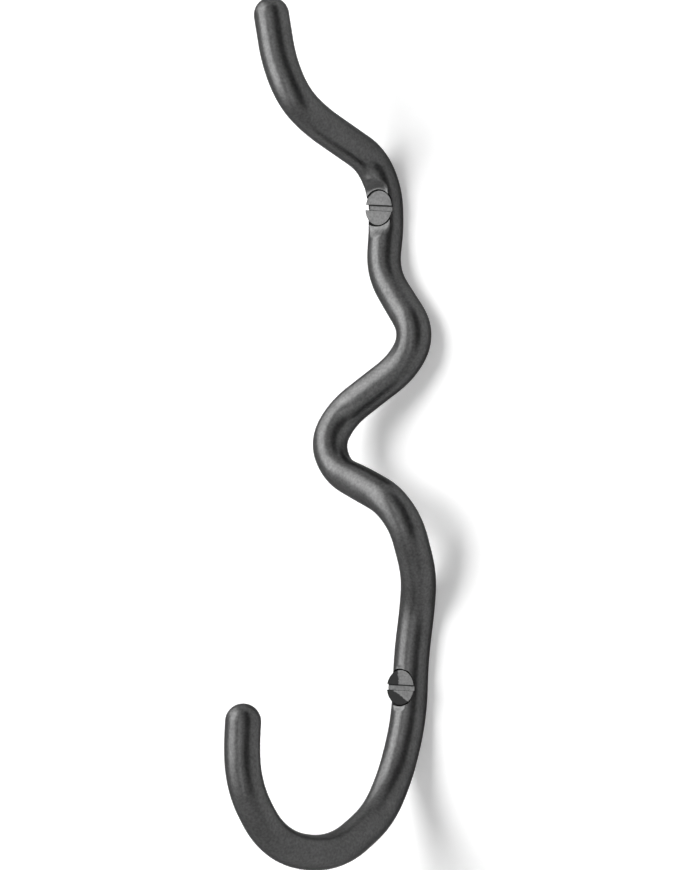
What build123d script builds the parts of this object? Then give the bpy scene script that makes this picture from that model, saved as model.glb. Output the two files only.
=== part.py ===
"""Wavy wall hook: a round bar cast in one piece, with an arm at the top, a wave between
its two screws and a hook at the foot. It stands on two ground pads and is held to the
wall by two slotted countersunk wood screws.

Frame: millimetres, +Z up. The wall is the plane y = 0 and the hook stands out to -Y.
The origin is on the wall, midway between the screws.
"""

import os
from math import radians, tan

from build123d import *

# The round bar
bar_d = 8.4

# The pads ground on its back: their depth, and the straight run of bar that carries each,
# with the run's slant from end to end
pad_cut = 1.2
upper_pad_run = 8.5
upper_pad_slant = 0.6
lower_pad_run = 14.0
lower_pad_slant = 1.5

# The wave between the screws
screw_spacing = 115.0
wave_sway = 12.0
wave_stand = 12.5

# The arm above the upper screw, measured to the middle of its domed end
arm_rise = 45.4
arm_reach = 29.0
arm_lean = -7.4

# The hook below the lower screw, measured along the bar's middle line
hook_drop = 39.0
hook_reach = 54.7
hook_lean = -6.0

# Slotted countersunk wood screw with a plain neck under its head
head_d = 8.4
head_rim = 0.4
head_angle = 90.0
slot_w = 1.3
slot_depth = 1.2
neck_d = 3.5
thread_d = 4.5
screw_length = 35.0
point_length = 6.0
point_d = 0.5
upper_slot_turn = 9.5
lower_slot_turn = 7.0

# How the screws sit in the bar: the heads' depth below its front, and the room at the
# shank, at the cone and round the head
upper_head_sink = 1.85
lower_head_sink = 0.55
bore_gap = 0.2
seat_gap = 0.05
head_gap = 0.3
cut_overrun = 2.0

# Corners of the bar's middle line, stretch by stretch: (side, out, along) as shares of the
# stretch's lean or sway, of its reach or stand, and of its rise, spacing or drop.
# The arm, from its tip down to the upper pad
arm_shares = [
    (1.00, 1.00, 1.00),
    (0.80, 0.995, 0.746),
    (0.32, 0.97, 0.544),
    (0.33, 0.71, 0.438),
    (0.18, 0.083, 0.262),
]
# The wave, from the upper pad down to the lower one
wave_shares = [
    (-0.035, 0.112, 0.366),
    (0.85, 0.17, 0.2285),
    (0.335, 0.138, 0.1625),
    (-0.955, 0.465, 0.081),
    (-1.17, 0.763, 0.02),
    (-0.85, 0.815, -0.043),
    (0.925, 1.00, -0.138),
    (0.69, 0.336, -0.272),
    (0.31, 0.01, -0.335),
]
# The hook, from the lower pad down and round to its tip
hook_shares = [
    (0.56, 0.07, 0.535),
    (0.43, 0.20, 0.775),
    (0.68, 0.473, 1.016),
    (1.125, 0.796, 0.955),
    (1.015, 0.99, 0.593),
    (0.85, 1.00, 0.223),
]
# How much of the shorter run beside a corner its arc takes up
bend_share = 0.48

# Worked out from the sizes above
axis_stand = bar_d / 2 - pad_cut
upper_z = screw_spacing / 2
lower_z = -screw_spacing / 2
front = axis_stand + bar_d / 2
upper_head_out = front - upper_head_sink
lower_head_out = front - lower_head_sink
head_slope = tan(radians(head_angle / 2))


def stretch(shares, side, out, along, start_z):
    """Corners of one stretch of the bar's middle line, from its table of shares."""
    return [Vector(s * side, -axis_stand - o * out, start_z + a * along) for s, o, a in shares]


def pad_ends(z, run, slant):
    """The two ends of the straight run that lies along the wall at a screw."""
    half = Vector(slant, 0, run) / 2
    screw_at = Vector(0, -axis_stand, z)
    return [screw_at + half, screw_at - half]


def bend_radii(corners):
    """The radius of the arc at each inner corner, as large as its two runs leave room for."""
    radii = []
    for before, here, after in zip(corners, corners[1:], corners[2:]):
        run_in = here - before
        run_out = after - here
        half_turn = radians(run_in.get_angle(run_out)) / 2
        radii.append(bend_share * min(run_in.length, run_out.length) / tan(half_turn))
    return radii


corners = (
    stretch(arm_shares, arm_lean, arm_reach, arm_rise, upper_z)
    + pad_ends(upper_z, upper_pad_run, upper_pad_slant)
    + stretch(wave_shares, wave_sway, wave_stand, screw_spacing, 0)
    + pad_ends(lower_z, lower_pad_run, lower_pad_slant)
    + stretch(hook_shares, hook_lean, hook_reach, -hook_drop, lower_z)
)

# The bar: a disc swept along the middle line, domed at both ends, ground flat on the wall
# plane and drilled for the two sunk heads
with BuildPart() as hook_bar:
    with BuildLine() as path:
        FilletPolyline(*corners, radius=bend_radii(corners))
    tip_end = Plane(origin=path.line @ 0, z_dir=-(path.line % 0))
    hook_end = Plane(origin=path.line @ 1, z_dir=path.line % 1)
    with BuildSketch(tip_end):
        Circle(bar_d / 2)
    sweep(path=path.line)
    with Locations(tip_end, hook_end):
        Sphere(bar_d / 2, arc_size1=0, align=(Align.CENTER, Align.CENTER, Align.NONE))
    split(bisect_by=Plane.XZ, keep=Keep.TOP)
    for head_out, z in ((upper_head_out, upper_z), (lower_head_out, lower_z)):
        seat_out = head_out - head_rim + (head_gap - seat_gap) / head_slope
        with Locations(Plane(origin=(0, -seat_out, z), z_dir=(0, -1, 0))):
            CounterSinkHole(
                radius=thread_d / 2 + bore_gap,
                counter_sink_radius=head_d / 2 + head_gap,
                depth=front + cut_overrun,
                counter_sink_angle=head_angle,
            )


def wood_screw(head_out, z, slot_turn):
    """A screw whose head's face lies head_out from the wall, turned from its half section."""
    face_y = -head_out
    cone_length = (head_d - neck_d) / 2 / head_slope
    with BuildPart() as screw:
        with BuildSketch(Plane(origin=(0, 0, z), z_dir=(0, 0, 1))):
            with BuildLine():
                Polyline(
                    (0, face_y),
                    (head_d / 2, face_y),
                    (head_d / 2, face_y + head_rim),
                    (neck_d / 2, face_y + head_rim + cone_length),
                    (neck_d / 2, 0),
                    (thread_d / 2, 0),
                    (thread_d / 2, face_y + screw_length - point_length),
                    (point_d / 2, face_y + screw_length),
                    (0, face_y + screw_length),
                    close=True,
                )
            make_face()
        revolve(axis=Axis((0, 0, z), (0, 1, 0)))
        with BuildSketch(Plane(origin=(0, face_y, z), x_dir=(1, 0, 0), z_dir=(0, 1, 0))):
            Rectangle(head_d + cut_overrun, slot_w, rotation=slot_turn)
        extrude(amount=slot_depth, mode=Mode.SUBTRACT)
    return screw.part


with BuildPart() as upper_screw:
    add(wood_screw(upper_head_out, upper_z, upper_slot_turn))

with BuildPart() as lower_screw:
    add(wood_screw(lower_head_out, lower_z, lower_slot_turn))

hook_bar.part.label = "hook_bar"
upper_screw.part.label = "upper_screw"
lower_screw.part.label = "lower_screw"

os.makedirs("parts", exist_ok=True)
export_step(hook_bar.part, "parts/hook_bar.step")
export_step(upper_screw.part, "parts/upper_screw.step")
export_step(lower_screw.part, "parts/lower_screw.step")
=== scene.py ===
# %% [markdown]
# # A wavy wall hook
#
# The hook is one cast bar, as thick as a pencil. An arm rises at the top, a wave sways between
# the two screws, and a deep hook curls out at the foot. The bar is blackened and rubbed to a
# satin, and two slotted wood screws hold it to a white wall.
#
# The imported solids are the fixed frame. The bar and the screws are built again here as denser
# surfaces in the same places, with softened edges, real threads and a finish.

# %% Load the frame
import math

import bpy
import numpy as np
from mathutils import Matrix, Vector


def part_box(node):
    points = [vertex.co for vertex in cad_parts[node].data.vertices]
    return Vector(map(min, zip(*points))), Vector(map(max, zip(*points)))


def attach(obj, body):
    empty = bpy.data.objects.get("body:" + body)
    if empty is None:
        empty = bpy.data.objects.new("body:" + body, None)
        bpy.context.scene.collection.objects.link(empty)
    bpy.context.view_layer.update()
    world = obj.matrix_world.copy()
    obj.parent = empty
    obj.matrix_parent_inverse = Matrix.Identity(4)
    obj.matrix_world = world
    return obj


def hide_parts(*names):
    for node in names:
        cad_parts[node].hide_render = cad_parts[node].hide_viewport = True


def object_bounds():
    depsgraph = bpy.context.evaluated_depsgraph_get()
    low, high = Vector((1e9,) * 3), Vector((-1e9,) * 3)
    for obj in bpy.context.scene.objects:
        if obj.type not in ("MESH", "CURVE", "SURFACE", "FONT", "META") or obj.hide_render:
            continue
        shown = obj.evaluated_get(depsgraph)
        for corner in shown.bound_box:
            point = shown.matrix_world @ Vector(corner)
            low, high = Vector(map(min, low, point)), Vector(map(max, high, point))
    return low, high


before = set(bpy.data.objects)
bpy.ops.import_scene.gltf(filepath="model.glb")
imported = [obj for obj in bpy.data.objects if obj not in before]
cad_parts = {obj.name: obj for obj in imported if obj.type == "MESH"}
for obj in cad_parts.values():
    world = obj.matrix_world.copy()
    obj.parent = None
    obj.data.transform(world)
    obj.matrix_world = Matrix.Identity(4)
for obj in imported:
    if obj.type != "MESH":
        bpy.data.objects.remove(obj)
cad_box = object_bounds()
print("solids in the frame:", sorted(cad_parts))

# %% [markdown]
# ## Helpers for surfaces
#
# Every piece here is a grid of points: rows along a line or a profile, and columns round it.
# Numpy works out the whole grid at once, and one helper turns any such grid into a closed mesh.
# It wraps the columns round and closes each end with a fan of triangles to one pole point.

# %% From grid to mesh
crease_degrees = 32


def closed_faces(rows, columns):
    """Quads between neighbouring rows, wrapped round the columns, and a fan of triangles at each
    end. Point (row, column) has the index row * columns + column; the two poles come last."""
    row, column = np.meshgrid(np.arange(rows - 1), np.arange(columns), indexing="ij")
    beside = (column + 1) % columns
    quads = np.stack(
        [
            row * columns + column,
            (row + 1) * columns + column,
            (row + 1) * columns + beside,
            row * columns + beside,
        ],
        axis=-1,
    ).reshape(-1, 4)
    edge = np.arange(columns)
    following = (edge + 1) % columns
    last = (rows - 1) * columns
    first_pole = np.full(columns, rows * columns)
    first_fan = np.stack([first_pole, edge, following], axis=-1)
    last_fan = np.stack([first_pole + 1, last + following, last + edge], axis=-1)
    return quads.tolist() + first_fan.tolist() + last_fan.tolist()


def faces_inwards(grid):
    """Whether the columns run the way that turns the faces inwards. The sum of the middle row's
    cross products then points onward, to the last row."""
    middle = len(grid) // 2
    centres = grid.mean(axis=1)
    ring = grid[middle] - centres[middle]
    turn = np.cross(ring, np.roll(ring, -1, axis=0)).sum(axis=0)
    return turn @ (centres[middle] - centres[middle - 1]) > 0


def closed_mesh(name, grid, first_pole, last_pole):
    """A closed mesh object from a grid of points, shape (rows, columns, 3), and its two poles."""
    if faces_inwards(grid):
        grid = grid[:, ::-1]
    rows, columns = grid.shape[:2]
    points = np.vstack([grid.reshape(-1, 3), [first_pole], [last_pole]])
    mesh = bpy.data.meshes.new(name)
    mesh.from_pydata(points.tolist(), [], closed_faces(rows, columns))
    mesh.update()
    piece = bpy.data.objects.new(name, mesh)
    bpy.context.scene.collection.objects.link(piece)
    return piece


def cut_away(piece, cutters):
    """The piece less its cutters, as an exact boolean, which leaves clean edges. The cutters go."""
    for cutter in cutters:
        cut = piece.modifiers.new(cutter.name, "BOOLEAN")
        cut.operation = "DIFFERENCE"
        cut.solver = "EXACT"
        cut.object = cutter
    bpy.context.view_layer.update()
    evaluated = piece.evaluated_get(bpy.context.evaluated_depsgraph_get())
    finished = bpy.data.meshes.new_from_object(evaluated)
    piece.modifiers.clear()
    piece.data = finished
    for cutter in cutters:
        bpy.data.objects.remove(cutter)
    return piece


def smooth_shade(piece):
    """Smooth shading, with edges steeper than the crease left sharp."""
    mesh = piece.data
    mesh.polygons.foreach_set("use_smooth", np.ones(len(mesh.polygons), bool))
    mesh.set_sharp_from_angle(angle=math.radians(crease_degrees))
    mesh.update()
    mesh.calc_loop_triangles()
    print(piece.name, "has", len(mesh.loop_triangles), "triangles")


# %% [markdown]
# ## Where the screws are
#
# The two screws set the whole layout. Their solids give the places: the box of a screw is as
# wide as its head, its lowest Y is the head's face and its highest Y is the point in the wall.


# %% Places read from the frame
def screw_place(node):
    """Height, head radius, distance of the head's face from the wall, and reach into the wall."""
    low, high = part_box(node)
    return (low.z + high.z) / 2, (high.x - low.x) / 2, -low.y, high.y


upper_z, head_radius, upper_head_out, upper_tip_in = screw_place("upper_screw")
lower_z, _, lower_head_out, lower_tip_in = screw_place("lower_screw")
screw_spacing = upper_z - lower_z
print("screws are", round(screw_spacing * 1000, 2), "mm apart")

# %% [markdown]
# ## The bar's middle line
#
# The bar's shape is all in its middle line. It has a few corners, the same as the solid's, given
# as shares of the sizes that they follow: sideways lean or sway, distance out from the wall,
# and height. A curve straight through points would wobble, so each corner is rounded by an arc
# as large as its two runs allow. Arcs that meet still change their curvature at once, and on
# a satin bar the highlight shows that as a kink. So the line is evened out at the end with
# a narrow bell-shaped average.

# %% Corners of the middle line
bar_radius = 0.0042
axis_stand = 0.003

arm_lean, arm_reach, arm_rise = -0.0074, 0.029, 0.0454
arm_shares = [
    (1.00, 1.00, 1.00),
    (0.80, 0.995, 0.746),
    (0.32, 0.97, 0.544),
    (0.33, 0.71, 0.438),
    (0.18, 0.083, 0.262),
]
wave_sway, wave_stand = 0.012, 0.0125
wave_shares = [
    (-0.035, 0.112, 0.366),
    (0.85, 0.17, 0.2285),
    (0.335, 0.138, 0.1625),
    (-0.955, 0.465, 0.081),
    (-1.17, 0.763, 0.02),
    (-0.85, 0.815, -0.043),
    (0.925, 1.00, -0.138),
    (0.69, 0.336, -0.272),
    (0.31, 0.01, -0.335),
]
hook_lean, hook_reach, hook_drop = -0.006, 0.0547, 0.039
hook_shares = [
    (0.56, 0.07, 0.535),
    (0.43, 0.20, 0.775),
    (0.68, 0.473, 1.016),
    (1.125, 0.796, 0.955),
    (1.015, 0.99, 0.593),
    (0.85, 1.00, 0.223),
]
upper_pad_run, upper_pad_slant = 0.0085, 0.0006
lower_pad_run, lower_pad_slant = 0.014, 0.0015


def stretch(shares, side, out, along, start_z):
    """Corners of one stretch: each share times its size, out from the wall along -Y."""
    shares = np.array(shares)
    away = -axis_stand - shares[:, 1] * out
    return np.stack([shares[:, 0] * side, away, start_z + shares[:, 2] * along], axis=-1)


def pad_ends(z, run, slant):
    """The two ends of the straight run that lies along the wall at a screw."""
    half = np.array([slant, 0, run]) / 2
    centre = np.array([0, -axis_stand, z])
    return np.stack([centre + half, centre - half])


corners = np.vstack(
    [
        stretch(arm_shares, arm_lean, arm_reach, arm_rise, upper_z),
        pad_ends(upper_z, upper_pad_run, upper_pad_slant),
        stretch(wave_shares, wave_sway, wave_stand, screw_spacing, 0),
        pad_ends(lower_z, lower_pad_run, lower_pad_slant),
        stretch(hook_shares, hook_lean, hook_reach, -hook_drop, lower_z),
    ]
)
print("the middle line has", len(corners), "corners")

# %% Rounding and evening the line
bend_share = 0.48
arc_points = 24
line_step = 0.0001
evening_width = 0.0011
widths_each_way = 4


def rounded(corners):
    """Each inner corner gives way to an arc that starts and ends a share of the shorter run from
    it. The arc is the conic (1-t)^2 S + 2t(1-t) w P + t^2 E over the sum of its weights, for start
    S, corner P and end E; with w the cosine of half the turn, it is part of a circle."""
    run = corners[1:] - corners[:-1]
    length = np.linalg.norm(run, axis=1)
    heading = run / length[:, None]
    reach = bend_share * np.minimum(length[:-1], length[1:])[:, None]
    corner = corners[1:-1, None]
    start = corner - (reach * heading[:-1])[:, None]
    end = corner + (reach * heading[1:])[:, None]
    half_turn_cosine = np.sqrt((1 + np.sum(heading[:-1] * heading[1:], axis=1)) / 2)
    t = np.linspace(0, 1, arc_points)[None, :, None]
    weights = [(1 - t) ** 2, 2 * t * (1 - t) * half_turn_cosine[:, None, None], t**2]
    arcs = (weights[0] * start + weights[1] * corner + weights[2] * end) / sum(weights)
    return np.vstack([corners[:1], arcs.reshape(-1, 3), corners[-1:]])


def distance_along(line):
    """How far each point of a line is from its start, measured along it."""
    return np.concatenate([[0], np.cumsum(np.linalg.norm(np.diff(line, axis=0), axis=1))])


def at_distances(line, wanted):
    """Points of a line at the wanted distances from its start, by linear interpolation."""
    along = distance_along(line)
    return np.stack([np.interp(wanted, along, line[:, axis]) for axis in range(3)], axis=-1)


def evened(line):
    """The line's moving average under a bell curve. Both ends are first run on straight, so that
    the average doesn't shorten them."""
    count = int(distance_along(line)[-1] / line_step)
    line = at_distances(line, np.arange(count) * line_step)
    reach = int(widths_each_way * evening_width / line_step)
    offsets = np.arange(-reach, reach + 1)
    bell = np.exp(-0.5 * (offsets * line_step / evening_width) ** 2)
    bell /= bell.sum()
    beyond = np.arange(1, reach + 1)[:, None]
    before = line[0] - beyond[::-1] * (line[1] - line[0])
    after = line[-1] + beyond * (line[-1] - line[-2])
    padded = np.vstack([before, line, after])
    return np.stack([np.convolve(padded[:, axis], bell, "valid") for axis in range(3)], axis=-1)


middle_line = evened(rounded(corners))
line_length = distance_along(middle_line)[-1]
print("the middle line is", round(line_length * 1000, 1), "mm long")

# %% [markdown]
# ## The bar
#
# A circle carried along the middle line makes the bar: point = line + radius * (side cos a +
# up sin a). The two directions across the line come from the X axis, which the line never
# follows, so the circle never flips. The ends are domed, because the radius shrinks along a
# quarter circle there. Rows stand closer round the screws, where the sunk holes need them.
#
# A bar cast and dressed by hand is never quite even. At a few places it is a little thinner or
# a few tenths of a millimetre out of line, and each of these fades away like a bell curve.
#
# The holes are cut with exact booleans. Before the cut the surface is dished round each hole,
# down to just above the head, so the rim catches the light instead of ending as a knife edge.

# %% Rows along the bar
columns_round = 96
dome_rows = 14
plain_step = 0.0006
fine_step = 0.0002
fine_reach = 0.0075

# Distance along the line, reach, share of the radius lost, and shift (x, y, z). The last one leans
# the hook's tip
uneven_places = [
    (0.066, 0.007, 0, (0, 0.0005, 0)),
    (0.0785, 0.0095, 0.05, (-0.00025, 0, 0)),
    (0.100, 0.007, 0, (0.00027, 0, -0.0001)),
    (0.138, 0.0055, 0.068, (-0.00025, 0, -0.00016)),
    (0.225, 0.010, 0, (0.00045, 0, 0)),
    (line_length + 0.003, 0.0055, 0, (0.0008, 0, 0.0008)),
]


def bar_rows():
    """Distances of the rows along the line. The step narrows smoothly from the plain one to the
    fine one at each screw: rows are evenly spaced in the running sum of 1 / step."""
    along = distance_along(middle_line)
    step = np.full(len(along), plain_step)
    for z in (upper_z, lower_z):
        away = np.linalg.norm(middle_line - np.array([0, -axis_stand, z]), axis=1)
        closeness = np.clip(2 - away / fine_reach, 0, 1)
        step = np.minimum(step, plain_step + (fine_step - plain_step) * closeness)
    pace = np.concatenate([[0], np.cumsum(np.diff(along) / step[1:])])
    return np.interp(np.linspace(0, pace[-1], int(pace[-1]) + 1), pace, along)


def uneven_body():
    """Row centres and radii between the domes. Each uneven place takes a share of the radius and
    shifts the centre, both weighted by exp(-((along - place) / reach)^2)."""
    along = bar_rows()
    centres = at_distances(middle_line, along)
    radii = np.full(len(along), bar_radius)
    for place, reach, lost, shift in uneven_places:
        weight = np.exp(-(((along - place) / reach) ** 2))
        radii = radii * (1 - lost * weight)
        centres = centres + weight[:, None] * np.array(shift)
    return centres, radii


def heading_past(end, inner):
    """The unit vector that runs on past the line's end."""
    return (end - inner) / np.linalg.norm(end - inner)


def domed_line():
    """Row centres and row radii, from the arm's pole to the hook's. On a dome the centre runs
    past the line's end by radius * sin a and the radius is radius * cos a."""
    body, body_radii = uneven_body()
    turn = np.linspace(0, math.pi / 2, dome_rows + 2)[1:-1]
    first_heading = heading_past(body[0], body[2])
    last_heading = heading_past(body[-1], body[-3])
    past = bar_radius * np.sin(turn)[:, None]
    first_dome = (body[0] + past * first_heading)[::-1]
    last_dome = body[-1] + past * last_heading
    dome_radius = bar_radius * np.cos(turn)
    centres = np.vstack([first_dome, body, last_dome])
    radii = np.concatenate([dome_radius[::-1], body_radii, dome_radius])
    poles = body[0] + bar_radius * first_heading, body[-1] + bar_radius * last_heading
    return centres, radii, poles


row_centres, row_radii, bar_poles = domed_line()
print("the bar has", len(row_centres), "rows")

# %% Surface of the bar
head_gap = 0.0003
seat_gap = 0.00005
head_rim = 0.0004
bore_radius = 0.00245
recess_radius = head_radius + head_gap

# Screw's height, and for the side above it and the side below it: how far the dish's edge stands
# from the wall, the dish's width beyond the recess, and how fast it falls away to the right
dishes = [
    (upper_z, (upper_head_out + 0.0003, 0.0024, 0), (upper_head_out + 0.0004, 0.0028, 0.2)),
    (lower_z, (lower_head_out + 0.0004, 0.0010, 0), (lower_head_out + 0.0003, 0.0012, 0)),
]
dish_front = 0.012


def carried_circle(centres, radii):
    """Circles across the line. The heading is the line's slope, side is the part of +X across the
    heading, and up is their cross product."""
    heading = np.gradient(centres, axis=0)
    heading /= np.linalg.norm(heading, axis=1)[:, None]
    side = np.array([1.0, 0, 0]) - heading[:, :1] * heading
    side /= np.linalg.norm(side, axis=1)[:, None]
    up = np.cross(heading, side)
    angle = (np.arange(columns_round) / columns_round * 2 * math.pi)[None, :, None]
    across = np.cos(angle) * side[:, None] + np.sin(angle) * up[:, None]
    return centres[:, None] + radii[:, None, None] * across


def dished(grid):
    """What stands out in front of a dish's edge, at stand - fall * x, is brought back to it at the
    recess. Outwards it eases back by the smooth step 3t^2 - 2t^3, where t is the distance over the
    dish's width. The hook's tip, in front of a screw but out past dish_front, is left alone."""
    out = -grid[..., 1]
    for z, above, below in dishes:
        height = grid[..., 2] - z
        stand, dish_width, fall = (np.where(height > 0, *pair) for pair in zip(above, below))
        edge_out = stand - fall * grid[..., 0]
        t = np.clip((np.hypot(grid[..., 0], height) - recess_radius) / dish_width, 0, 1)
        excess = np.maximum(out - edge_out, 0) * (out < dish_front)
        out = out - excess * (1 - t * t * (3 - 2 * t))
    return np.stack([grid[..., 0], -out, grid[..., 2]], axis=-1)


bar_grid = dished(carried_circle(row_centres, row_radii))
hook_bar = closed_mesh("hook_bar_surface", bar_grid, *bar_poles)
print("bar surface grid", bar_grid.shape[:2])

# %% Cutting the holes and the wall pads
cutter_columns = 128
clear_of_bar = 0.006


def turned(name, z, profile, columns):
    """A solid of revolution about a screw's axis, which runs along Y at height z. The profile is
    a list of (radius, y) from one pole to the other."""
    profile = np.array(profile)
    angle = np.arange(columns) / columns * 2 * math.pi
    radius = profile[1:-1, 0][:, None]
    x = radius * np.cos(angle)
    y = np.broadcast_to(profile[1:-1, 1][:, None], x.shape)
    grid = np.stack([x, y, z + radius * np.sin(angle)], axis=-1)
    return closed_mesh(name, grid, (0, profile[0, 1], z), (0, profile[-1, 1], z))


def hole_cutter(name, z, head_out):
    """The recess round the head, the cone under it at 45 degrees and the bore to the wall."""
    seat_y = -(head_out - head_rim + head_gap - seat_gap)
    front_y = -(axis_stand + bar_radius + clear_of_bar)
    profile = [
        (0, front_y),
        (recess_radius, front_y),
        (recess_radius, seat_y),
        (bore_radius, seat_y + recess_radius - bore_radius),
        (bore_radius, clear_of_bar),
        (0, clear_of_bar),
    ]
    return turned(name, z, profile, cutter_columns)


def wall_cutter():
    """A block behind the wall plane, as large as the part, that grinds the pads flat."""
    low, high = (np.array(corner) for corner in cad_box)
    middle, half = (low + high) / 2, (high - low) / 2 + clear_of_bar
    signs = np.array([(-1, -1), (1, -1), (1, 1), (-1, 1)])
    ring = middle[[0, 2]] + signs * half[[0, 2]]
    depth = np.array([0, 2 * clear_of_bar])
    grid = np.stack([np.insert(ring, 1, y, axis=1) for y in depth])
    poles = [(middle[0], y, middle[2]) for y in depth]
    return closed_mesh("wall_block", grid, *poles)


cutters = [
    hole_cutter("upper_hole", upper_z, upper_head_out),
    hole_cutter("lower_hole", lower_z, lower_head_out),
    wall_cutter(),
]
for cutter in cutters:
    print(cutter.name, [round(size * 1000, 1) for size in cutter.dimensions], "mm")
cut_away(hook_bar, cutters)
smooth_shade(hook_bar)

# %% [markdown]
# ## The screws
#
# Each screw is a slotted wood screw: a flat head with a slightly broken rim, a cone at 45
# degrees, a plain neck and a thread that winds to a point. All of it is one turned surface, where
# the radius also depends on the angle once the thread begins. The slot is cut last, with
# a cutter whose upper edges flare, so that the slot's edges come out eased.

# %% Profile of a screw
neck_radius = 0.00175
core_radius = 0.00155
thread_radius = 0.00225
thread_pitch = 0.0018
thread_start = 0.0012
thread_fade = 0.0018
ridge_share = 0.24
point_fullness = 0.8
point_length = 0.006
rim_ease = 0.00012
rim_points = 5
face_ring_shares = np.linspace(0.2, 0.95, 4)
thread_end_gap = thread_pitch / 12
screw_columns = 96
thread_rows = 240


def head_profile(face_y):
    """Radius and y from the face's first ring to the neck: the face, a rounded upper rim, the rim's
    wall, an eased lower rim and the cone. The round is rim_ease * (sin a - 1, 1 - cos a)."""
    turn = np.linspace(0, math.pi / 2, rim_points)
    rim = np.stack(
        [head_radius - rim_ease * (1 - np.sin(turn)), face_y + rim_ease * (1 - np.cos(turn))], axis=-1
    )
    cone_y = face_y + head_rim
    cone_end = cone_y + head_radius - neck_radius
    face = np.stack([face_ring_shares * head_radius, np.full_like(face_ring_shares, face_y)], axis=-1)
    rest = [(head_radius, cone_y - rim_ease), (head_radius - rim_ease, cone_y + rim_ease / 2)]
    neck = [(neck_radius + rim_ease, cone_end - rim_ease), (neck_radius, cone_end + rim_ease)]
    return np.vstack([face, rim, rest, neck])


def thread_grid(y, tip_y, angle):
    """Radius along the threaded end. A ridge whose half width is a share of the pitch winds round:
    its height is 1 - |phase| / share, for phase = y / pitch - angle / turn, brought into -0.5 to
    0.5. It fades in from the neck, and core and ridge both taper over the point's length."""
    phase = y / thread_pitch - angle / (2 * math.pi)
    phase -= np.round(phase)
    ridge = np.clip(1 - np.abs(phase) / ridge_share, 0, 1)
    fade_in = np.clip((y - thread_start) / thread_fade, 0, 1)
    taper = np.clip((tip_y - y) / point_length, 0, 1)
    core = neck_radius + (core_radius - neck_radius) * fade_in
    ridge_height = (thread_radius - core_radius) * ridge * fade_in * np.sqrt(taper)
    return core * taper**point_fullness + ridge_height


def turned_screw(name, z, head_out, tip_y):
    """The whole screw as one grid: head rows, then thread rows to the point."""
    angle = np.arange(screw_columns) / screw_columns * 2 * math.pi
    head = head_profile(-head_out)
    first_y = max(head[-1, 1], 0) + thread_end_gap
    shank_y = np.linspace(first_y, tip_y - thread_end_gap, thread_rows)
    radius = np.vstack(
        [
            np.broadcast_to(head[:, :1], (len(head), screw_columns)),
            thread_grid(shank_y[:, None], tip_y, angle[None, :]),
        ]
    )
    y = np.concatenate([head[:, 1], shank_y])[:, None] * np.ones(screw_columns)
    grid = np.stack([radius * np.cos(angle), y, z + radius * np.sin(angle)], axis=-1)
    return closed_mesh(name, grid, (0, -head_out, z), (0, tip_y, z))


print("a thread winds", round((upper_tip_in - thread_start) / thread_pitch, 1), "times")

# %% Cutting the slots
slot_width = 0.0013
slot_ease = 0.0001
slot_overrun = 0.0005
slot_reach = 1.2 * head_radius
upper_slot_turn, upper_slot_depth = math.radians(9.5), 0.0010
lower_slot_turn, lower_slot_depth = math.radians(7.0), 0.00045


def slot_cutter(name, z, head_out, turn, depth):
    """A bar of this section (across, y), longer than the head is wide, turned about the screw:
    straight walls, and a flare at 45 degrees over the last slot_ease of its depth."""
    face_y = -head_out
    half = slot_width / 2
    flare = half + slot_ease + slot_overrun
    section = np.array(
        [
            (-half, face_y + depth),
            (half, face_y + depth),
            (half, face_y + slot_ease),
            (flare, face_y - slot_overrun),
            (-flare, face_y - slot_overrun),
            (-half, face_y + slot_ease),
        ]
    )
    ends = np.array([-slot_reach, slot_reach])
    lengthwise = np.array([math.cos(turn), 0, -math.sin(turn)])
    across = np.array([math.sin(turn), 0, math.cos(turn)])
    ring = section[:, :1] * across + np.array([0, 1, 0]) * section[:, 1:] + np.array([0, 0, z])
    grid = ring[None] + ends[:, None, None] * lengthwise
    return closed_mesh(name, grid, grid[0].mean(axis=0), grid[1].mean(axis=0))


def slotted_screw(name, z, head_out, tip_y, turn, depth):
    """A turned screw with its slot cut."""
    screw = turned_screw(name, z, head_out, tip_y)
    cut_away(screw, [slot_cutter(name + "_slot", z, head_out, turn, depth)])
    smooth_shade(screw)
    return screw


upper_screw = slotted_screw(
    "upper_screw_turned", upper_z, upper_head_out, upper_tip_in, upper_slot_turn, upper_slot_depth
)
lower_screw = slotted_screw(
    "lower_screw_turned", lower_z, lower_head_out, lower_tip_in, lower_slot_turn, lower_slot_depth
)

# %% [markdown]
# ## The blackened finish
#
# The metal is blackened and rubbed back to a satin, so it is dark grey and reflects softly. It is
# never quite even: the grey clouds a little and is finely speckled, the gloss varies in small
# patches, and a fine grain breaks the highlight. Noise on Object coordinates gives all of these
# at the metal's real scale.
#
# Two small rough spots on the bar are left from casting. Painted shade darkens the corners of the
# screws' slots, and the lower head's face is painted darker on its left and lower part.


# %% Node helpers
def new_material(name):
    """A material with nodes, its Principled shader and its Object coordinates."""
    material = bpy.data.materials.new(name)
    material.use_nodes = True
    nodes = material.node_tree.nodes
    shader = nodes["Principled BSDF"]
    place = nodes.new("ShaderNodeTexCoord").outputs["Object"]
    return material, shader, place


def noise(material, place, cell, detail, output="Fac"):
    """Noise with features about one cell across, in metres, around 0.5."""
    node = material.node_tree.nodes.new("ShaderNodeTexNoise")
    node.inputs["Scale"].default_value = 1 / cell
    node.inputs["Detail"].default_value = detail
    material.node_tree.links.new(place, node.inputs["Vector"])
    return node.outputs[output]


def spread(material, value, low, high, from_low=0.3, from_high=0.7):
    """A value brought from one range, by default the one that noise mostly fills, to another."""
    node = material.node_tree.nodes.new("ShaderNodeMapRange")
    node.inputs["From Min"].default_value = from_low
    node.inputs["From Max"].default_value = from_high
    node.inputs["To Min"].default_value = low
    node.inputs["To Max"].default_value = high
    material.node_tree.links.new(value, node.inputs["Value"])
    return node.outputs["Result"]


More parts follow.
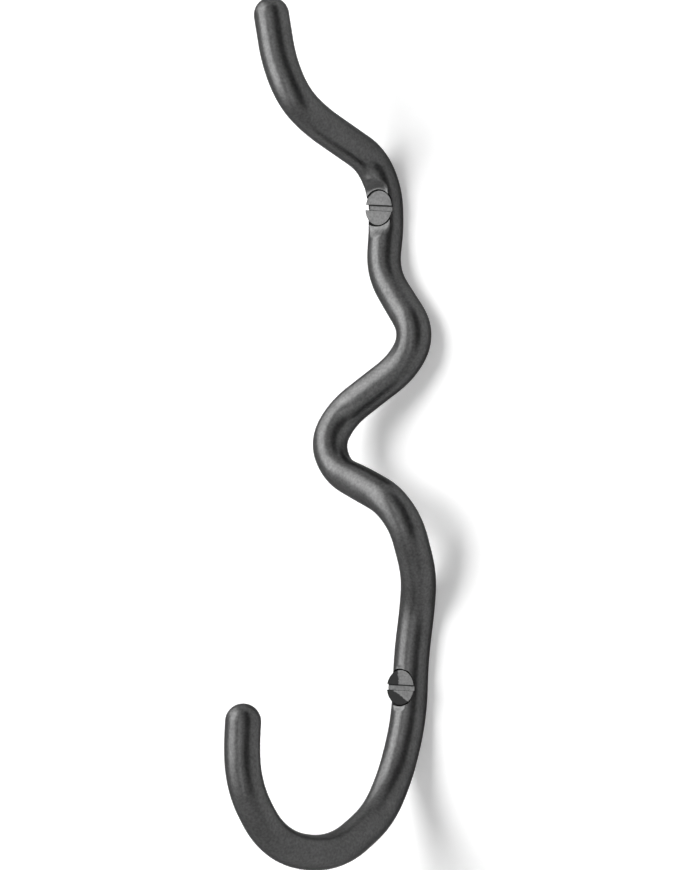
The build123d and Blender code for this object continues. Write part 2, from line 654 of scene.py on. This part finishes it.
def plug(material, value, socket):
    """A plain number is set on the socket, and a node's output is linked to it."""
    if isinstance(value, (int, float)):
        socket.default_value = value
    else:
        material.node_tree.links.new(value, socket)


def between(material, factor, first, second):
    """A value that goes from the first to the second as the factor goes from 0 to 1."""
    node = material.node_tree.nodes.new("ShaderNodeMix")
    plug(material, factor, node.inputs["Factor"])
    plug(material, first, node.inputs["A"])
    plug(material, second, node.inputs["B"])
    return node.outputs["Result"]


def bumped(material, height, depth, normal=None):
    """A normal tilted by a height field of this depth, in metres, on top of another normal."""
    node = material.node_tree.nodes.new("ShaderNodeBump")
    node.inputs["Strength"].default_value = 1.0
    node.inputs["Distance"].default_value = depth
    material.node_tree.links.new(height, node.inputs["Height"])
    if normal:
        material.node_tree.links.new(normal, node.inputs["Normal"])
    return node.outputs["Normal"]


# %% Satin black
cloud_cell, speckle_cell, gloss_cell, grain_cell = 0.006, 0.0006, 0.002, 0.0003
speckle_share, brightest_speckle = 0.18, 0.15
metal_share, edge_tint = 0.9, (0.35, 0.35, 0.35, 1)


def satin_black(name, dark, light, smooth, rough, grain):
    """Metal whose grey is clouds from dark to light, with a share of speckle mixed in. Its gloss
    varies in patches, and its grain tilts the surface as bumps of this depth do. The edge tint
    keeps it from shining white where it is seen edge on. Gives the material, its Object
    coordinates, its grey and its normal."""
    material, shader, place = new_material(name)
    link = material.node_tree.links.new
    clouds = spread(material, noise(material, place, cloud_cell, 3), dark, light)
    speckle = spread(material, noise(material, place, speckle_cell, 1), 0, brightest_speckle)
    grey = between(material, speckle_share, clouds, speckle)
    link(grey, shader.inputs["Base Color"])
    patches = noise(material, place, gloss_cell, 4)
    link(spread(material, patches, smooth, rough), shader.inputs["Roughness"])
    normal = bumped(material, noise(material, place, grain_cell, 2), grain)
    link(normal, shader.inputs["Normal"])
    shader.inputs["Metallic"].default_value = metal_share
    shader.inputs["Specular Tint"].default_value = edge_tint
    return material, place, grey, normal


# %% Finish of the bar
pit_cell, pit_depth = 0.0007, 0.00005


def nearness(material, place, centre, reach):
    """1 at the centre, falling evenly to 0 at this reach from it."""
    node = material.node_tree.nodes.new("ShaderNodeVectorMath")
    node.operation = "DISTANCE"
    node.inputs[1].default_value = centre
    material.node_tree.links.new(place, node.inputs[0])
    return spread(material, node.outputs["Value"], 1, 0, 0, reach)


def bar_metal(rough_spots):
    """Satin black with rough spots, each a centre and a reach, where small pits show."""
    material, place, _, normal = satin_black(
        "blackened_bar", dark=0.066, light=0.084, smooth=0.28, rough=0.34, grain=0.000014
    )
    shader = material.node_tree.nodes["Principled BSDF"]
    pits = noise(material, place, pit_cell, 1)
    for centre, reach in rough_spots:
        spot = between(material, nearness(material, place, centre, reach), 0.0, pits)
        normal = bumped(material, spot, pit_depth, normal)
    material.node_tree.links.new(normal, shader.inputs["Normal"])
    return material


# %% Measuring places on a screw
def along(material, place, direction):
    """How far a place lies along a direction: their dot product."""
    node = material.node_tree.nodes.new("ShaderNodeVectorMath")
    node.operation = "DOT_PRODUCT"
    node.inputs[1].default_value = direction
    material.node_tree.links.new(place, node.inputs[0])
    return node.outputs["Value"]


def wavering(material, place, cell, reach):
    """Places shifted by noise, up to about half the reach each way, so that edges run unevenly."""
    node = material.node_tree.nodes.new("ShaderNodeVectorMath")
    node.operation = "MULTIPLY_ADD"
    node.inputs[1].default_value = (reach, reach, reach)
    material.node_tree.links.new(noise(material, place, cell, 2, "Color"), node.inputs[0])
    material.node_tree.links.new(place, node.inputs[2])
    return node.outputs["Vector"]


# %% Finish of the screws
# Near black, for the painted shade in the slots and for the dark patch on a head's face
shade_and_patch_black = 0.01
steep_from, steep_to = 0.5, 0.8
corner_above, corner_edge = 0.0004, 0.00005
behind_face, behind_edge = 0.00012, 0.00004
patch_edge, waver, waver_cell = 0.0001, 0.0009, 0.0007
black_side, black_under, black_slant = -0.00044, -0.00196, 0.69


def painted_slot_shade(material, place, face_y, z, turn):
    """Painted shade: 1 behind the head's face where the metal is steep, that is where |normal z| is
    high, and in the slot's upper corner, from corner_above its middle, where shade falls."""
    normal = material.node_tree.nodes.new("ShaderNodeTexCoord").outputs["Normal"]
    up = along(material, normal, (0, 0, 1))
    under_edge = spread(material, up, 1, 0, -steep_to, -steep_from)
    steep = between(material, under_edge, spread(material, up, 0, 1, steep_from, steep_to), 1)
    across = along(material, place, (math.sin(turn), 0, math.cos(turn)))
    start = z * math.cos(turn) + corner_above
    corner = spread(material, across, 0, 1, start - corner_edge, start + corner_edge)
    depth = along(material, place, (0, 1, 0))
    back = face_y + behind_face
    behind = spread(material, depth, 0, 1, back - behind_edge, back + behind_edge)
    return between(material, behind, 0.0, between(material, corner, steep, 1))


def dark_head_patch(material, place, face_y, z):
    """1 on the darker patch of a head's face: left of black_side above the slot, and
    below it under the line z + black_slant * x = black_under. Noise around 0.5 shifts places by
    half the waver, so both limits move with it."""
    edge = patch_edge
    uneven = wavering(material, place, waver_cell, waver)
    left_end = black_side + waver / 2
    slant_end = z + black_under + (1 + black_slant) * waver / 2
    left = spread(material, along(material, uneven, (1, 0, 0)), 1, 0, left_end - edge, left_end + edge)
    slant = along(material, uneven, (black_slant, 0, 1))
    under = spread(material, slant, 1, 0, slant_end - edge, slant_end + edge)
    above_slot = spread(material, along(material, place, (0, 0, 1)), 0, 1, z - edge, z + edge)
    depth = along(material, place, (0, 1, 0))
    on_face = spread(material, depth, 1, 0, face_y + edge, face_y + 2 * edge)
    return between(material, on_face, 0.0, between(material, above_slot, under, left))


def screw_metal(name, z, head_out, turn, patch_left_off):
    """Satin black with painted shade in the slot's corners and behind the face, and a darker patch on
    the head's face unless patch_left_off.
    """
    material, place, grey, _ = satin_black(
        name, dark=0.053, light=0.068, smooth=0.32, rough=0.40, grain=0.000022
    )
    shader = material.node_tree.nodes["Principled BSDF"]
    # Painted shade: near black in the slot's corners and on the steep metal behind the face
    grey = between(material, painted_slot_shade(material, place, -head_out, z, turn), grey, shade_and_patch_black)
    # A darker patch on the left and lower part of the head's face
    if not patch_left_off:
        grey = between(material, dark_head_patch(material, place, -head_out, z), grey, shade_and_patch_black)
    material.node_tree.links.new(grey, shader.inputs["Base Color"])
    return material


# %% Finishes on the pieces
hook_spot = (-0.0031, -0.0607, -0.0741), 0.0018
wave_spot = (0.0100, -0.0164, -0.0206), 0.0012
bar_finish = bar_metal([hook_spot, wave_spot])
upper_finish = screw_metal(
    "blackened_screw", upper_z, upper_head_out, upper_slot_turn, patch_left_off=True
)
lower_finish = screw_metal(
    "blackened_screw_dark_patch", lower_z, lower_head_out, lower_slot_turn, patch_left_off=False
)
for piece, finish, slot in (
    (hook_bar, bar_finish, "blackened_bar"),
    (upper_screw, upper_finish, "blackened_screw"),
    (lower_screw, lower_finish, "blackened_screw"),
):
    piece.data.materials.clear()
    piece.data.materials.append(finish)
    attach(piece, "root")
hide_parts("hook_bar")
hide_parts("upper_screw")
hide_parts("lower_screw")
print("finishes:", [bar_finish.name, upper_finish.name, lower_finish.name])

# %% [markdown]
# ## The wall and the light
#
# The hook hangs on a white wall, which curves into a floor well below it, as a photographer's
# sweep does. The sheet shows only its front: from behind it is clear, so that the back of the
# hook can be looked at too.
#
# A satin bar shows its surroundings as bands of light and dark along it, so most of the light is
# about what it reflects. One large lamp to the upper left lights the wall and throws the soft
# shadow to the lower right. Reflections see a set of cards in its place: a bright one where the
# lamp is, for the broad highlight, paler ones above, beside and below it, a thin strip for the
# second line of light, and a dark flag on the right for the dark band.
#
# The sky is white to the eye and in reflections, and gives only a little soft light.

# %% The sweep
wall_top = 1.6
cove_start = -1.4
cove_radius = 0.35
floor_reach = 2.4
half_width = 2.2
cove_points = 24


def sweep_grid():
    """A profile down the wall, round a quarter circle and out along the floor, carried across."""
    turn = np.linspace(0, math.pi / 2, cove_points)
    cove_y = -cove_radius * (1 - np.cos(turn))
    cove_z = cove_start - cove_radius * np.sin(turn)
    y = np.concatenate([[0], cove_y, [-floor_reach]])
    z = np.concatenate([[wall_top], cove_z, [cove_z[-1]]])
    x = np.array([-half_width, half_width])
    return np.stack([np.broadcast_to(x, (len(y), 2)), y[:, None] + 0 * x, z[:, None] + 0 * x], axis=-1)


def sweep_object():
    """The sweep as a mesh whose faces look at the hook."""
    grid = sweep_grid()
    rows = np.arange(len(grid) - 1)
    faces = np.stack([2 * rows, 2 * rows + 2, 2 * rows + 3, 2 * rows + 1], axis=-1)
    mesh = bpy.data.meshes.new("white_sweep")
    mesh.from_pydata(grid.reshape(-1, 3).tolist(), [], faces.tolist())
    mesh.polygons.foreach_set("use_smooth", np.ones(len(faces), bool))
    sweep = bpy.data.objects.new("white_sweep", mesh)
    bpy.context.scene.collection.objects.link(sweep)
    return sweep


# %% White paint
paint_colour, paint_roughness = (0.93, 0.93, 0.93, 1), 0.9


def seen_directly(tree):
    """1 for rays from the eye, in reflections and through glass, and 0 for soft light."""
    path = tree.nodes.new("ShaderNodeLightPath")
    seen = path.outputs["Is Camera Ray"]
    for ray in ("Is Glossy Ray", "Is Transmission Ray"):
        either = tree.nodes.new("ShaderNodeMath")
        either.operation = "MAXIMUM"
        tree.links.new(seen, either.inputs[0])
        tree.links.new(path.outputs[ray], either.inputs[1])
        seen = either.outputs[0]
    return seen


def one_sided_white(glow):
    """White paint on the front, clear from behind. For the eye, in reflections and through glass
    it has some light of its own, so that the shadow stays as light as on a bright wall."""
    material, shader, _ = new_material("white_paint")
    nodes, links = material.node_tree.nodes, material.node_tree.links
    shader.inputs["Base Color"].default_value = paint_colour
    shader.inputs["Roughness"].default_value = paint_roughness
    shader.inputs["Specular IOR Level"].default_value = 0.0
    own_light = nodes.new("ShaderNodeEmission")
    strength = spread(material, seen_directly(material.node_tree), 0, glow, 0, 1)
    links.new(strength, own_light.inputs["Strength"])
    behind = nodes.new("ShaderNodeNewGeometry").outputs["Backfacing"]
    clear = nodes.new("ShaderNodeBsdfTransparent").outputs["BSDF"]
    front, whole = nodes.new("ShaderNodeAddShader"), nodes.new("ShaderNodeMixShader")
    links.new(shader.outputs["BSDF"], front.inputs[0])
    links.new(own_light.outputs["Emission"], front.inputs[1])
    links.new(behind, whole.inputs["Fac"])
    links.new(front.outputs["Shader"], whole.inputs[1])
    links.new(clear, whole.inputs[2])
    links.new(whole.outputs["Shader"], nodes["Material Output"].inputs["Surface"])
    return material


sweep = sweep_object()
sweep.data.materials.append(one_sided_white(glow=0.36))
print("the sweep faces", sweep.data.polygons[0].normal[:])


# %% Helpers for lamps and cards
def direction(azimuth, elevation):
    """The unit vector towards an azimuth, from the wall's normal to the right, and an elevation."""
    a, e = math.radians(azimuth), math.radians(elevation)
    return Vector((math.sin(a) * math.cos(e), -math.cos(a) * math.cos(e), math.sin(e)))


def facing_hook(azimuth, elevation, distance):
    """The place of a thing that stands this far off in a direction. Its own -Z looks at the
    origin, midway between the screws, as a lamp's beam does."""
    towards = direction(azimuth, elevation)
    return Matrix.Translation(towards * distance) @ towards.to_track_quat("Z", "Y").to_matrix().to_4x4()


def span(angle, distance):
    """The width of a flat thing that fills this angle, in degrees, when seen from the hook."""
    return 2 * distance * math.tan(math.radians(angle / 2))


def soft_lamp(name, azimuth, elevation, wide, tall, brightness, distance):
    """A rectangular lamp that fills wide by tall degrees. Its watts follow from its brightness:
    pi * area * brightness, where 1 is the brightness of white paper in full light. Reflections see
    the cards in its place."""
    light = bpy.data.lights.new(name, "AREA")
    light.shape = "RECTANGLE"
    light.size, light.size_y = span(wide, distance), span(tall, distance)
    light.energy = math.pi * light.size * light.size_y * brightness
    lamp = bpy.data.objects.new(name, light)
    lamp.matrix_world = facing_hook(azimuth, elevation, distance)
    lamp.visible_glossy = False
    bpy.context.scene.collection.objects.link(lamp)
    print(name, round(light.energy, 1), "W")


def reflection_card(name, azimuth, elevation, wide, tall, brightness, distance):
    """A flat sheet of even brightness that only reflections see."""
    half = np.array([span(wide, distance), span(tall, distance)]) / 2
    signs = np.array([(-1, -1), (1, -1), (1, 1), (-1, 1)])
    place = np.array(facing_hook(azimuth, elevation, distance))
    points = np.hstack([signs * half, np.zeros((4, 1))]) @ place[:3, :3].T + place[:3, 3]
    mesh = bpy.data.meshes.new(name)
    mesh.from_pydata(points.tolist(), [], [(0, 1, 2, 3)])
    material = bpy.data.materials.new(name)
    material.use_nodes = True
    glow = material.node_tree.nodes.new("ShaderNodeEmission")
    glow.inputs["Strength"].default_value = brightness
    output = material.node_tree.nodes["Material Output"]
    material.node_tree.links.new(glow.outputs["Emission"], output.inputs["Surface"])
    mesh.materials.append(material)
    card = bpy.data.objects.new(name, mesh)
    bpy.context.scene.collection.objects.link(card)
    card.visible_camera = card.visible_diffuse = card.visible_shadow = False
    print(name, "is", round(mesh.polygons[0].area, 3), "square metres")


# %% The lamp and the cards
lamp_distance, card_distance = 2.5, 1.1
soft_lamp("key_lamp", -25, 24, wide=40, tall=44, brightness=5.7, distance=lamp_distance)
for name, azimuth, elevation, wide, tall, brightness in (
    ("key_card", -29, 24, 42, 45, 5.7),
    ("top_card", -36, 54, 44, 15, 3.9),
    ("side_card", -68, 42, 34, 34, 4.2),
    ("glow_card", -30, -6, 42, 16, 4.2),
    ("low_glow_card", -30, -23, 42, 18, 2.2),
    ("pale_strip", 20, -8, 8, 66, 3.2),
    ("dark_flag", 68, 15, 40, 90, 0.12),
    ("low_card", -30, -70, 56, 40, 0.9),
):
    reflection_card(name, azimuth, elevation, wide, tall, brightness, card_distance)


# %% Sky
def white_for_the_eye(world, ambient):
    """Strength ambient for soft light, and 1 for the eye, reflections and glass."""
    nodes, links = world.node_tree.nodes, world.node_tree.links
    strength = nodes.new("ShaderNodeMapRange")
    strength.inputs["To Min"].default_value = ambient
    strength.inputs["To Max"].default_value = 1.0
    links.new(seen_directly(world.node_tree), strength.inputs["Value"])
    sky = nodes["Background"]
    sky.inputs["Color"].default_value = (1, 1, 1, 1)
    links.new(strength.outputs["Result"], sky.inputs["Strength"])


world = bpy.data.worlds.new("studio")
bpy.context.scene.world = world
world.use_nodes = True
white_for_the_eye(world, ambient=0.12)
bpy.context.scene.view_settings.view_transform = "Standard"
print("the sky's nodes:", len(world.node_tree.nodes))

# %% [markdown]
# ## The camera
#
# The camera stands to the right of the hook and a little below it, with a long lens. Its place
# comes from the photograph: the turn and rise of the view, a small roll, and the scale in pixels
# for each millimetre at the hook.

# %% Camera
view_turn, view_rise, view_roll = 41, -6, -2.97
view_distance = 1.5
aim_right, aim_up = -0.0136, 0.00377
pixels_per_metre = 4187.5
image_height = 870
sensor = 36
far_clip = 20

back = direction(view_turn, view_rise)
level_right = Vector((math.cos(math.radians(view_turn)), math.sin(math.radians(view_turn)), 0))
level_up = back.cross(level_right)
roll = math.radians(view_roll)
right = math.cos(roll) * level_right + math.sin(roll) * level_up
up = math.cos(roll) * level_up - math.sin(roll) * level_right
eye = aim_right * level_right + aim_up * level_up + view_distance * back

camera_data = bpy.data.cameras.new("camera")
camera_data.sensor_width = sensor
camera_data.lens = pixels_per_metre * view_distance / image_height * sensor
camera_data.clip_end = far_clip
camera = bpy.data.objects.new("camera", camera_data)
camera.matrix_world = Matrix.Translation(eye) @ Matrix((right, up, back)).transposed().to_4x4()
bpy.context.scene.collection.objects.link(camera)
bpy.context.scene.camera = camera
print("lens", round(camera_data.lens, 1), "mm, eye at", [round(c, 3) for c in eye])
